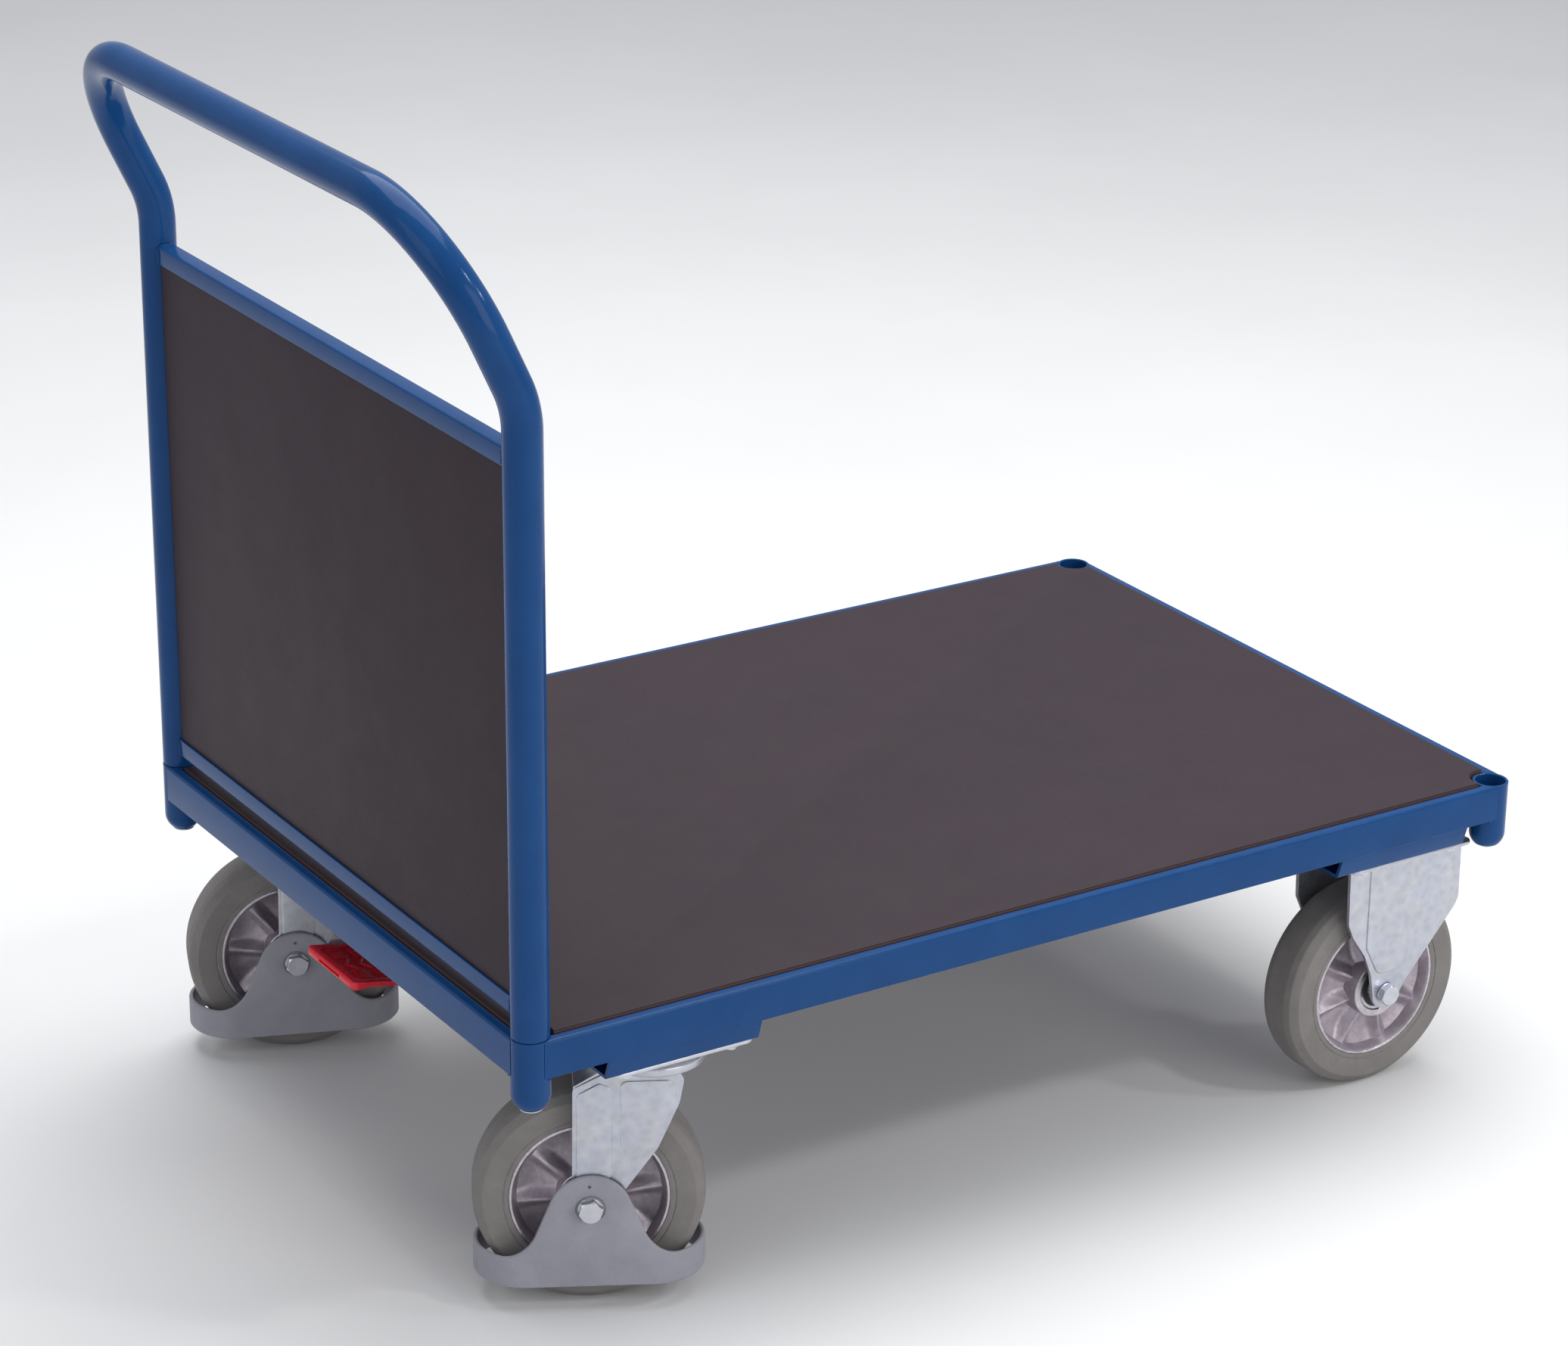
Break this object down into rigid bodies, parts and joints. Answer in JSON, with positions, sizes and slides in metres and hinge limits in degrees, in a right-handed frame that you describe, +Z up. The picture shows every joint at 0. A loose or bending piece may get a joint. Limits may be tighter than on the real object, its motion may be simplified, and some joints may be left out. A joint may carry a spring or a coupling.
{
  "type": "platform trolley",
  "caption": "Platform trolley with a panelled push handle, swivel and fixed casters, foot guards and a central brake pedal.",
  "frame": {"origin": "on the floor, under the middle of the trolley's bounding box at rest", "axes": "+Z up, +X towards the open front end, handle at -X, +Y to the left of a person at the handle"},
  "size_m": [1.1309, 0.7182, 1.014],
  "materials": {
    "blue_paint": "glossy signal-blue powder coat",
    "ply_film": "dark brown phenolic film with a fine mesh texture",
    "zinc": "bright zinc plate",
    "cast_aluminium": "die cast with a machined lip",
    "grey_rubber": "matt grey elastic rubber",
    "grey_plastic": "fine-grained moulded plastic",
    "red_plastic": "satin moulded plastic",
    "bearing_steel": "ground steel"
  },
  "bodies": {
    "chassis": {"side_rail_left": "blue_paint", "side_rail_right": "blue_paint", "end_rail_front": "blue_paint", "end_rail_rear": "blue_paint", "corner_socket_front_left": "blue_paint", "corner_socket_front_right": "blue_paint", "corner_socket_rear_left": "blue_paint", "corner_socket_rear_right": "blue_paint", "caster_pan_front_left": "blue_paint", "caster_pan_front_right": "blue_paint", "caster_pan_rear_left": "blue_paint", "caster_pan_rear_right": "blue_paint", "push_handle": "blue_paint", "panel_top_rail": "blue_paint", "panel_bottom_rail": "blue_paint", "deck_panel": "ply_film", "end_panel": "ply_film", "handle_screw_left": "zinc", "handle_screw_right": "zinc", "brake_bracket": "zinc", "swivel_plate_left": "zinc", "swivel_race_left": "zinc", "kingpin_left": "zinc", "fixed_left_fork": "zinc", "fixed_left_axle_bolt": "zinc", "fixed_left_axle_nut": "zinc", "fixed_left_bearings": "bearing_steel", "swivel_plate_right": "zinc", "swivel_race_right": "zinc", "kingpin_right": "zinc", "fixed_right_fork": "zinc", "fixed_right_axle_bolt": "zinc", "fixed_right_axle_nut": "zinc", "fixed_right_bearings": "bearing_steel"},
    "brake_linkage": {"brake_shaft": "zinc", "brake_lever": "zinc", "brake_pedal": "red_plastic"},
    "left_fork": {"swivel_left_fork": "zinc", "swivel_left_foot_guard": "grey_plastic", "swivel_left_axle_bolt": "zinc", "swivel_left_axle_nut": "zinc", "swivel_left_bearings": "bearing_steel"},
    "left_swivel_wheel": {"swivel_left_rim": "cast_aluminium", "swivel_left_tyre": "grey_rubber"},
    "left_fixed_wheel": {"fixed_left_rim": "cast_aluminium", "fixed_left_tyre": "grey_rubber"},
    "left_brake_plunger": {"brake_plunger_left": "zinc"},
    "right_fork": {"swivel_right_fork": "zinc", "swivel_right_foot_guard": "grey_plastic", "swivel_right_axle_bolt": "zinc", "swivel_right_axle_nut": "zinc", "swivel_right_bearings": "bearing_steel"},
    "right_swivel_wheel": {"swivel_right_rim": "cast_aluminium", "swivel_right_tyre": "grey_rubber"},
    "right_fixed_wheel": {"fixed_right_rim": "cast_aluminium", "fixed_right_tyre": "grey_rubber"},
    "right_brake_plunger": {"brake_plunger_right": "zinc"}
  },
  "joints": [
    {"name": "brake_pedal_hinge", "type": "hinge", "parent": "chassis", "child": "brake_linkage", "pos_m": [-0.31541, -0.00921, 0.262], "axis": [0, -1, 0], "range_deg": [0, 12]},
    {"name": "left_caster_swivel", "type": "hinge", "parent": "chassis", "child": "left_fork", "pos_m": [-0.33041, 0.27479, 0.2373], "axis": [0, 0, 1], "continuous": true},
    {"name": "left_swivel_wheel_roll", "type": "hinge", "parent": "left_fork", "child": "left_swivel_wheel", "pos_m": [-0.38175, 0.2945, 0.1], "axis": [0.3584, 0.9336, 0], "continuous": true},
    {"name": "left_fixed_wheel_roll", "type": "hinge", "parent": "chassis", "child": "left_fixed_wheel", "pos_m": [0.44559, 0.27479, 0.1], "axis": [0, 1, 0], "continuous": true},
    {"name": "left_brake_plunger_slide", "type": "slide", "parent": "left_fork", "child": "left_brake_plunger", "axis": [0, 0, -1], "range_m": [0, 0.003]},
    {"name": "right_caster_swivel", "type": "hinge", "parent": "chassis", "child": "right_fork", "pos_m": [-0.33041, -0.29321, 0.2373], "axis": [0, 0, 1], "continuous": true},
    {"name": "right_swivel_wheel_roll", "type": "hinge", "parent": "right_fork", "child": "right_swivel_wheel", "pos_m": [-0.37901, -0.26747, 0.1], "axis": [0.4679, 0.8838, 0], "continuous": true},
    {"name": "right_fixed_wheel_roll", "type": "hinge", "parent": "chassis", "child": "right_fixed_wheel", "pos_m": [0.44559, -0.29321, 0.1], "axis": [0, 1, 0], "continuous": true},
    {"name": "right_brake_plunger_slide", "type": "slide", "parent": "right_fork", "child": "right_brake_plunger", "axis": [0, 0, -1], "range_m": [0, 0.003]}
  ],
  "couplings": [
    {"joint": "left_brake_plunger_slide", "follows": "brake_pedal_hinge", "m_per_rad": 0.0143},
    {"joint": "right_brake_plunger_slide", "follows": "brake_pedal_hinge", "m_per_rad": 0.0143}
  ]
}
